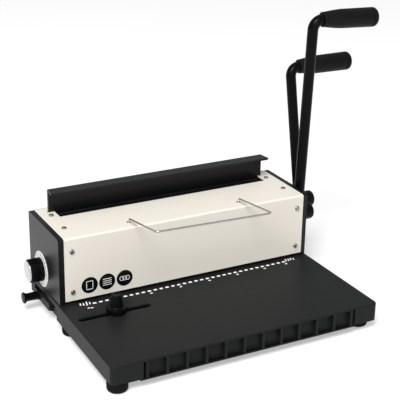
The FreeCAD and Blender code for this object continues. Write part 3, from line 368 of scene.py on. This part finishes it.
def makeScrewHead():
    s = screw
    radius, height = s["headRadius"], s["headHeight"]
    bm = bmesh.new()
    profile = [(0, 0), (radius, 0)]
    profile += arcPoints((radius - s["domed"], height - s["domed"]), s["domed"], 0, 90)
    profile.append((0, height + s["crown"]))
    addLathe(bm, profile, (0, 0, 0), (0, 0, 1), steps=32)
    bmesh.ops.recalc_face_normals(bm, faces=bm.faces)
    head = newObject(bm, "screwBlank")
    cutters = []
    for x, y in ((s["crossSpan"], s["crossWidth"]), (s["crossWidth"], s["crossSpan"])):
        bm = bmesh.new()
        verts = addBlock(bm, (-x / 2, -y / 2, height - s["crossDepth"]),
                         (x / 2, y / 2, height + s["crossAbove"]))
        low = [vert for vert in verts if vert.co.z < height]
        bmesh.ops.scale(bm, vec=(s["crossTaper"], s["crossTaper"], 1), verts=low)
        cutter = newObject(bm, "crossCutter")
        head.modifiers.new("recess", "BOOLEAN").object = cutter
        cutters.append(cutter)
    bpy.context.view_layer.update()
    done = head.evaluated_get(bpy.context.evaluated_depsgraph_get())
    mesh = bpy.data.meshes.new_from_object(done)
    for obj in cutters + [head]:
        bpy.data.objects.remove(obj)
    return mesh


screwHead = makeScrewHead()


def addScrews(node, name, direction, places):
    bm = bmesh.new()
    for index, place in enumerate(places):
        turn = math.radians(screw["firstTurn"] + screw["nextTurn"] * index)
        matrix = (Matrix.Translation(place) @ turnedTo(direction)
                  @ Matrix.Rotation(turn, 4, "Z"))
        before = set(bm.verts)
        bm.from_mesh(screwHead)
        added = [vert for vert in bm.verts if vert not in before]
        bmesh.ops.transform(bm, matrix=matrix, verts=added)
    finishPiece(bm, name, slotOf[node], "frame", [node], screw["sharp"])


def fourCorners(node, axis, face):
    # a node's four screws stand at its box's corners, their axes a head's radius inside
    low, high = boxOf(node)
    others = [index for index in range(3) if index != axis]
    places = []
    for first in (low, high):
        for second in (low, high):
            place = Vector((0, 0, 0))
            place[axis] = face
            for index, corner in zip(others, (first, second)):
                inward = screw["headRadius"] if corner is low else -screw["headRadius"]
                place[index] = corner[index] + inward
            places.append(place)
    return places


plateBack = boxOf("right_side_plate")[1].y
for side, axis, direction, face in (("front", 1, (0, -1, 0), coverLow.y),
                                    ("top", 2, (0, 0, 1), coverHigh.z),
                                    ("rear", 1, (0, 1, 0), plateBack)):
    node = side + "_cover_screws"
    addScrews(node, side + "Screws", direction, fourCorners(node, axis, face))
print("stage: screws")


# printed marks on the tray; ticks are (x, y, length)

marks = {
    "thick": 0.06, "count": 34, "pitch": 25.4 / 3, "aside": 0.9, "rowY": -9.0,
    "length": 4.8, "depth": 3.5, "corner": 0.9,
    "fives": (10, 15, 20, 25, 30, 34), "fiveY": -15.6, "fiveSize": (3.4, 2.2), "fiveCorner": 0.4,
    "spots": ((-150.6, -18.6), (-146.6, -19.6)),
    "tickWide": 1.7, "tickLean": -14.0, "tickCorner": 0.3,
    "ticks": ((-156.6, -5.4, 6.0), (-152.8, -6.6, 6.5), (-148.4, -6.2, 10.0), (-144.4, -6.8, 6.0),
              (146.3, -5.6, 6.5), (150.2, -6.2, 6.5), (154.4, -5.2, 6.0), (158.0, -6.6, 5.0)),
}


def addMark(bm, x, y, length, depth, corner, turn=0.0):
    low, high = (-length / 2, -depth / 2, 0), (length / 2, depth / 2, marks["thick"])
    verts = addBlock(bm, low, high)
    edges = {edge for vert in verts for edge in vert.link_edges
             if abs(edge.verts[0].co.z - edge.verts[1].co.z) > marks["thick"] / 2}
    matrix = Matrix.Translation((x, y, 0)) @ Matrix.Rotation(math.radians(turn), 4, "Z")
    bmesh.ops.transform(bm, matrix=matrix, verts=verts)
    bevelEdges(bm, list(edges), corner)


def makeTrayMarks():
    m = marks
    bm = bmesh.new()
    for index in range(m["count"]):
        x = (index - (m["count"] - 1) / 2) * m["pitch"] + m["aside"]
        addMark(bm, x, m["rowY"], m["length"], m["depth"], m["corner"])
        if index + 1 in m["fives"]:
            addMark(bm, x, m["fiveY"], *m["fiveSize"], m["fiveCorner"])
    for x, y in m["spots"]:
        addMark(bm, x, y, *m["fiveSize"], m["fiveCorner"])
    for x, y, length in m["ticks"]:
        addMark(bm, x, y, m["tickWide"], length, m["tickCorner"], m["tickLean"])
    finishPiece(bm, "trayMarks", "scale_white", "frame")


# round badges on the cover, with a sheet, a stack of sheets and three wire loops

badge = {"radius": 11.0, "thick": 0.25, "edge": 0.15, "edgeFrom": 0.6, "line": 0.9,
         "places": (-141.3, -117.4, -93.3), "height": 21.5,
         "sheetHalf": (4.2, 5.6), "sheetSize": (9.3, 12.0),
         "stackRows": 4, "stackGap": 2.8, "stackWide": 12.0,
         "loopRadii": (3.2, 2.4), "loopGap": 4.0}


def addBadgeBar(bm, x, z, length, height):
    face = coverLow.y - badge["thick"]
    addBlock(bm, (x - length / 2, face - marks["thick"], z - height / 2),
             (x + length / 2, face, z + height / 2))


def makeBadges():
    b = badge
    discs = bmesh.new()
    signs = bmesh.new()
    profile = [(0, 0), (b["radius"], 0), (b["radius"], b["thick"] * b["edgeFrom"]),
               (b["radius"] - b["edge"], b["thick"]), (0, b["thick"])]
    for x in b["places"]:
        addLathe(discs, profile, (x, coverLow.y, b["height"]), (0, -1, 0), steps=56)
    sheetX, stackX, loopX = b["places"]
    wide, tall = b["sheetSize"]
    for side in (-1, 1):
        addBadgeBar(signs, sheetX + side * b["sheetHalf"][0], b["height"], b["line"], tall)
        addBadgeBar(signs, sheetX, b["height"] + side * b["sheetHalf"][1], wide, b["line"])
    for row in range(b["stackRows"]):
        rise = (row - (b["stackRows"] - 1) / 2) * b["stackGap"]
        addBadgeBar(signs, stackX, b["height"] + rise, b["stackWide"], b["line"])
    outer, inner = b["loopRadii"]
    high = marks["thick"]
    loop = [(outer, 0), (outer, high), (inner, high), (inner, 0), (outer, 0)]
    face = coverLow.y - b["thick"]
    for column in (-1, 0, 1):
        x = loopX + column * b["loopGap"]
        addLathe(signs, loop, (x, face, b["height"]), (0, -1, 0), steps=32)
    finishPiece(discs, "badges", "black_plastic", "frame")
    finishPiece(signs, "badgeSigns", "scale_white", "frame")


makeTrayMarks()
makeBadges()
print("stage: marks")


# levers; the grip's waist, flare and groove are given along its length

levers = {
    "punch": {"reach": 277.8, "lean": 2.9, "droop": 2.5, "tubeX": 191.0, "body": "punch_arm"},
    "closer": {"reach": 191.3, "lean": -11.5, "droop": 0.0, "tubeX": 214.0, "body": "closer_arm"},
}
tube = {"radius": 7.2, "bend": 13.0, "inHub": 2.0, "endInGrip": 12.0, "weld": 1.3, "weldSunk": 0.2}
hub = {"round": 4.0, "backEdge": 0.5}
grip = {"length": 85.5, "radius": 13.2, "neck": 10.0, "round": 5.0, "lip": 0.8, "collar": 3.0,
        "waist": 0.5, "waistSpan": (3.6, 4.4), "flare": 0.25, "taperSpan": (5.0, 30.0),
        "taperSteps": 8, "taperShort": 0.4, "groove": 1.0, "grooveBack": 3.0, "grooveEdge": 0.3,
        "grooveHalf": (1.0, 0.7, 0.4)}


def makeTube(kind, centre, rise, along, hubRadius):
    lever = levers[kind]
    corner = centre + rise * lever["reach"]
    end = corner + along * (tube["bend"] + grip["length"] - tube["endInGrip"])
    bm = bmesh.new()
    start = centre + rise * (hubRadius - tube["inHub"])
    addTube(bm, [start, corner, end], tube["bend"], tube["radius"])
    bead = arcPoints((tube["radius"], 0), tube["weld"], -90, 90)
    addLathe(bm, bead, centre + rise * (hubRadius - tube["weldSunk"]), rise)
    finishPiece(bm, kind + "Tube", "lever_steel", lever["body"], [kind + "_lever"])
    return corner + along * tube["bend"]


def makeHub(kind, centre, low, high, radius):
    length = high.x - low.x
    bm = bmesh.new()
    profile = [(0, 0), (radius - hub["backEdge"], 0), (radius, hub["backEdge"])]
    profile += arcPoints((radius - hub["round"], length - hub["round"]), hub["round"], 0, 90, 8)
    profile.append((0, length))
    addLathe(bm, profile, (low.x, centre.y, centre.z), (1, 0, 0), steps=72)
    finishPiece(bm, kind + "Hub", "hub_black", levers[kind]["body"], [kind + "_hub"])


def makeGrip(kind, start, along):
    g = grip
    neck, radius, length = g["neck"], g["radius"], g["length"]
    waistFrom, waistTo = g["waistSpan"]
    taperFrom, taperTo = g["taperSpan"]
    profile = [(tube["radius"], 0.0), (neck - g["lip"], 0.0), (neck, g["lip"]),
               (neck, g["collar"]), (neck - g["waist"], waistFrom), (neck - g["waist"], waistTo)]
    thin, thick = neck + g["flare"], radius - g["taperShort"]
    for step in range(g["taperSteps"] + 1):
        part = step / g["taperSteps"]
        ease = (part + math.sin(part * math.pi / 2)) / 2
        profile.append((thin + (thick - thin) * ease, taperFrom + (taperTo - taperFrom) * part))
    middle = length - g["round"] - g["grooveBack"]
    radii = (radius, radius - g["grooveEdge"], radius - g["groove"])
    profile += [(r, middle - half) for r, half in zip(radii, g["grooveHalf"])]
    profile += [(r, middle + half) for r, half in zip(radii[::-1], g["grooveHalf"][::-1])]
    profile += arcPoints((radius - g["round"], length - g["round"]), g["round"], 0, 90, 8)
    profile.append((0, length))
    bm = bmesh.new()
    addLathe(bm, profile, start, along, steps=72)
    finishPiece(bm, kind + "Grip", "grip_black", levers[kind]["body"], [kind + "_grip"])


def makeLever(kind):
    lever = levers[kind]
    low, high = boxOf(kind + "_hub")
    radius = (high.z - low.z) / 2
    centre = Vector((lever["tubeX"], (low.y + high.y) / 2, (low.z + high.z) / 2))
    lean = math.radians(lever["lean"])
    fall = math.radians(lever["droop"])
    rise = Vector((0, -math.sin(lean), math.cos(lean)))
    along = Vector((math.cos(fall), 0, -math.sin(fall)))
    gripStart = makeTube(kind, centre, rise, along, radius)
    makeHub(kind, centre, low, high, radius)
    makeGrip(kind, gripStart, along)


for kind in levers:
    makeLever(kind)
print("stage: levers")


# the dial, with plain ticks, a ribbed knob and a bright cap

dial = {"discEdge": 0.3, "ticks": 24, "longEvery": 3, "tickLong": (1.0, 4.2),
        "tickShort": (0.7, 2.6), "tickOut": 22.8,
        "skirt": 3.0, "skirtEdge": (0.4, 0.5), "frontRound": 1.2,
        "ribs": 30, "ribWidth": 1.7, "ribHigh": 0.7, "ribEdge": 0.45, "ribStart": 1.6,
        "ribSunk": 1.0, "ribInSkirt": 0.2,
        "capEdge": 0.5, "capRing": (1.4, 1.8), "capDish": 0.25}


def roundOf(node):
    # the middle of a round node's inner face, its radius and its length along x
    low, high = boxOf(node)
    middle = Vector((high.x, (low.y + high.y) / 2, (low.z + high.z) / 2))
    return middle, (high.y - low.y) / 2, high.x - low.x


def makeDialDisc():
    middle, radius, thick = roundOf("dial_plate")
    profile = [(0, 0), (radius, 0), (radius, thick / 2), (radius - dial["discEdge"], thick),
               (0, thick)]
    bm = bmesh.new()
    addLathe(bm, profile, middle, (-1, 0, 0), steps=96)
    finishPiece(bm, "dialDisc", "scale_white", "frame", ["dial_plate"])

    place = Matrix.Translation((middle.x - thick, middle.y, middle.z))
    bm = bmesh.new()
    for index in range(dial["ticks"]):
        wide, deep = dial["tickShort"] if index % dial["longEvery"] else dial["tickLong"]
        verts = addBlock(bm, (-marks["thick"], -wide / 2, dial["tickOut"] - deep),
                         (0, wide / 2, dial["tickOut"]))
        turn = Matrix.Rotation(2 * math.pi * index / dial["ticks"], 4, "X")
        bmesh.ops.transform(bm, matrix=place @ turn, verts=verts)
    finishPiece(bm, "dialTicks", "black_plastic", "frame")
    return middle


def makeDialKnob(centre):
    d = dial
    back, radius, length = roundOf("dial_knob")
    core = radius - d["ribHigh"]
    edgeIn, edgeBack = d["skirtEdge"]
    frontRound = d["frontRound"]
    profile = [(0, 0), (radius, 0), (radius, d["skirt"] - edgeBack), (radius - edgeIn, d["skirt"]),
               (core, d["skirt"])]
    profile += arcPoints((core - frontRound, length - frontRound), frontRound, 0, 90)
    profile.append((0, length))
    bm = bmesh.new()
    addLathe(bm, profile, (back.x, centre.y, centre.z), (-1, 0, 0), steps=96)
    place = Matrix.Translation((0, centre.y, centre.z))
    for index in range(d["ribs"]):
        low = (back.x - length + d["ribStart"], -d["ribWidth"] / 2, core - d["ribSunk"])
        high = (back.x - d["skirt"] + d["ribInSkirt"], d["ribWidth"] / 2, radius)
        verts = addBlock(bm, low, high)
        edges = {edge for vert in verts for edge in vert.link_edges
                 if all(end.co.z > core for end in edge.verts)}
        turn = Matrix.Rotation(2 * math.pi * index / d["ribs"], 4, "X")
        bmesh.ops.transform(bm, matrix=place @ turn, verts=verts)
        bevelEdges(bm, list(edges), d["ribEdge"])
    finishPiece(bm, "dialKnob", "black_plastic", "dial", ["dial_knob"])


def makeDialCap(centre):
    back, radius, thick = roundOf("dial_cap")
    edge = dial["capEdge"]
    outer, inner = dial["capRing"]
    profile = [(0, 0), (radius, 0)] + arcPoints((radius - edge, thick - edge), edge, 0, 90)
    profile += [(radius - outer, thick), (radius - inner, thick - dial["capDish"]),
                (0, thick - dial["capDish"])]
    bm = bmesh.new()
    addLathe(bm, profile, (back.x, centre.y, centre.z), (-1, 0, 0), steps=72)
    finishPiece(bm, "dialCap", "satin_alu", "dial", ["dial_cap"])


dialCentre = makeDialDisc()
makeDialKnob(dialCentre)
makeDialCap(dialCentre)
print("stage: dial")


# the drawer's pull; its flare is (in from the flange, back from the end)

pull = {"radius": 5.6, "neck": 5.3, "flange": 7.5, "round": 1.0, "collar": 0.8, "collarEnd": 1.4,
        "flareFrom": 5.5, "flare": ((1.2, 3.4), (0.2, 2.4), (0.0, 1.8))}


def makePull():
    p = pull
    middle, _, length = roundOf("drawer_pull")
    profile = [(0, 0), (p["radius"] + p["collar"], 0), (p["radius"] + p["collar"], p["collar"]),
               (p["radius"], p["collarEnd"]), (p["neck"], length - p["flareFrom"])]
    profile += [(p["flange"] - inward, length - back) for inward, back in p["flare"]]
    profile += arcPoints((p["flange"] - p["round"], length - p["round"]), p["round"], 0, 90)
    profile.append((0, length))
    bm = bmesh.new()
    addLathe(bm, profile, middle, (-1, 0, 0), steps=48)
    finishPiece(bm, "drawerPull", "black_plastic", "drawer", ["drawer_pull"])


# the paper stop: a flat rim, a cone and a dished top

stop = {"rim": 12.7, "rimHigh": 7.6, "neckLow": 8.4, "neckTop": 6.3, "flare": 2.4, "edge": 0.7,
        "dishEdge": 1.4, "dish": 0.4}


def makeStop():
    s = stop
    low, high = boxOf("stop_knob")
    height = high.z - low.z
    edge, flare = s["edge"], s["flare"]
    profile = [(0, 0), (s["rim"] - edge, 0), (s["rim"], edge)]
    profile += arcPoints((s["rim"] - edge, s["rimHigh"] - edge), edge, 0, 90, 4)
    profile += arcPoints((s["neckLow"] + flare, s["rimHigh"] + flare), flare, 270, 180)
    profile += arcPoints((s["neckTop"] - edge, height - edge), edge, 0, 90, 4)
    profile += [(s["neckTop"] - s["dishEdge"], height - s["dish"]), (0, height - s["dish"])]
    bm = bmesh.new()
    addLathe(bm, profile, ((low.x + high.x) / 2, (low.y + high.y) / 2, low.z), (0, 0, 1))
    finishPiece(bm, "paperStop", "black_plastic", "paper_stop", ["stop_knob"])


# the wire hanger, a little skewed and wider at its right

hanger = {"wire": 1.2, "bend": 4.5, "half": 80.0, "y": 15.0, "reach": 80.0, "stand": 5.2,
          "rise": 10.8, "skew": 2.3, "spread": 1.75, "tail": 12.0}


def makeHanger():
    h = hanger
    top = coverHigh.z
    front = top + h["stand"] + h["rise"]
    points = []
    for side in (-1, 1):
        tail = Vector((side * h["half"], h["y"], top - h["tail"]))
        knee = Vector((side * h["half"], h["y"], top + h["stand"]))
        x = side * (h["half"] + h["spread"]) + h["spread"]
        corner = Vector((x, h["y"] - h["reach"], front - side * h["skew"]))
        points += [tail, knee, corner] if side < 0 else [corner, knee, tail]
    bm = bmesh.new()
    addTube(bm, points, h["bend"], h["wire"], segments=16, steps=10)
    finishPiece(bm, "wireHanger", "chrome", "frame", ["wire_hanger"])


# the feet, at the places and radii of the node's own

foot = {"round": 4.0, "screwHole": 5.5, "holeDeep": 6.0, "lip": 0.6, "lipSpan": (1.6, 2.2)}


def footPlaces():
    bm = solidOf("rubber_feet")
    places = []
    waiting = set(bm.verts)
    while waiting:
        group = {waiting.pop()}
        rim = set(group)
        while rim:
            rim = {edge.other_vert(vert) for vert in rim for edge in vert.link_edges} - group
            group |= rim
        waiting -= group
        xs = [vert.co.x for vert in group]
        ys = [vert.co.y for vert in group]
        radius = (max(xs) - min(xs)) / 2
        places.append(((min(xs) + max(xs)) / 2, (min(ys) + max(ys)) / 2, radius))
    bm.free()
    return sorted(places)


def makeFeet():
    low, high = boxOf("rubber_feet")
    height = high.z - low.z
    lipTop, lipLow = foot["lipSpan"]
    bm = bmesh.new()
    for x, y, radius in footPlaces():
        inner = radius - foot["lip"]
        profile = [(0, foot["holeDeep"]), (foot["screwHole"], foot["holeDeep"]),
                   (foot["screwHole"], 0)]
        profile += arcPoints((radius - foot["round"], foot["round"]), foot["round"], -90, 0, 8)
        profile += [(radius, height - lipLow), (inner, height - lipTop), (inner, height),
                    (0, height)]
        addLathe(bm, profile, (x, y, low.z), (0, 0, 1), steps=56)
    finishPiece(bm, "feet", "rubber", "frame", ["rubber_feet"])


makePull()
makeStop()
makeHanger()
makeFeet()
print("stage: small pieces")


# stage, lamps and camera, in metres and degrees

studio = {
    "floorLevel": -36.0 * mm, "floorSize": 40.0, "floorColor": 0.62, "floorGlow": 0.4,
    "worldLevel": 0.43,
    "lamps": {"key": {"place": (-2.9, -3.14, 5.68), "size": 3.6, "power": 505.0},
              "fill": {"place": (-0.6, -3.2, 1.2), "size": 2.0, "power": 15.0}},
    "cameraPlace": (-0.60411, -1.1554, 0.63589), "yaw": 28.141, "pitch": 21.867, "roll": 0.99334,
    "focal": 98.55, "sensor": 36.0, "farClip": 50.0,
}


def addLamp(name, place, size, power):
    data = bpy.data.lights.new(name, "AREA")
    data.shape = "DISK"
    data.size = size
    data.energy = power
    lamp = bpy.data.objects.new(name, data)
    aim = (-Vector(place)).to_track_quat("-Z", "Y").to_matrix().to_4x4()
    lamp.matrix_world = Matrix.Translation(place) @ aim
    bpy.context.scene.collection.objects.link(lamp)


def makeWorld():
    world = bpy.data.worlds.new("studio")
    bpy.context.scene.world = world
    world.use_nodes = True
    shader = world.node_tree.nodes["Background"]
    shader.inputs["Color"].default_value = (1, 1, 1, 1)
    shader.inputs["Strength"].default_value = studio["worldLevel"]


def makeFloor():
    bm = bmesh.new()
    bmesh.ops.create_grid(bm, x_segments=1, y_segments=1, size=studio["floorSize"] / 2,
                          matrix=Matrix.Translation((0, 0, studio["floorLevel"])))
    floor = newObject(bm, "floor")
    material = bpy.data.materials.new("floorWhite")
    material.use_nodes = True
    tree = material.node_tree
    shader = tree.nodes["Principled BSDF"]
    shader.inputs["Base Color"].default_value = (*[studio["floorColor"]] * 3, 1)
    shader.inputs["Roughness"].default_value = 1.0
    shader.inputs["Specular IOR Level"].default_value = 0.0
    shader.inputs["Emission Color"].default_value = (1, 1, 1, 1)
    # the floor glows to white for the camera and in reflections, and still takes the shadow
    path = tree.nodes.new("ShaderNodeLightPath")
    seen = path.outputs["Is Camera Ray"]
    for ray in ("Is Glossy Ray", "Is Transmission Ray"):
        seen = mathNode(tree, "MAXIMUM", seen, path.outputs[ray])
    glow = mathNode(tree, "MULTIPLY", seen, studio["floorGlow"])
    tree.links.new(glow, shader.inputs["Emission Strength"])
    floor.data.materials.append(material)


def makeCamera():
    data = bpy.data.cameras.new("view")
    data.sensor_width = studio["sensor"]
    data.lens = studio["focal"]
    data.clip_end = studio["farClip"]
    yaw, pitch, roll = (math.radians(studio[key]) for key in ("yaw", "pitch", "roll"))
    ahead = Vector((math.sin(yaw) * math.cos(pitch), math.cos(yaw) * math.cos(pitch),
                    -math.sin(pitch)))
    level = Vector((math.cos(yaw), -math.sin(yaw), 0))
    upright = level.cross(ahead)
    across = level * math.cos(roll) + upright * math.sin(roll)
    above = upright * math.cos(roll) - level * math.sin(roll)
    turn = Matrix((across, above, -ahead)).transposed().to_4x4()
    camera = bpy.data.objects.new("view", data)
    camera.matrix_world = Matrix.Translation(studio["cameraPlace"]) @ turn
    bpy.context.scene.collection.objects.link(camera)
    bpy.context.scene.camera = camera


makeWorld()
makeFloor()
makeCamera()
for name, lamp in studio["lamps"].items():
    addLamp(name, **lamp)
bpy.context.scene.view_settings.view_transform = "Standard"
print("stage: studio")
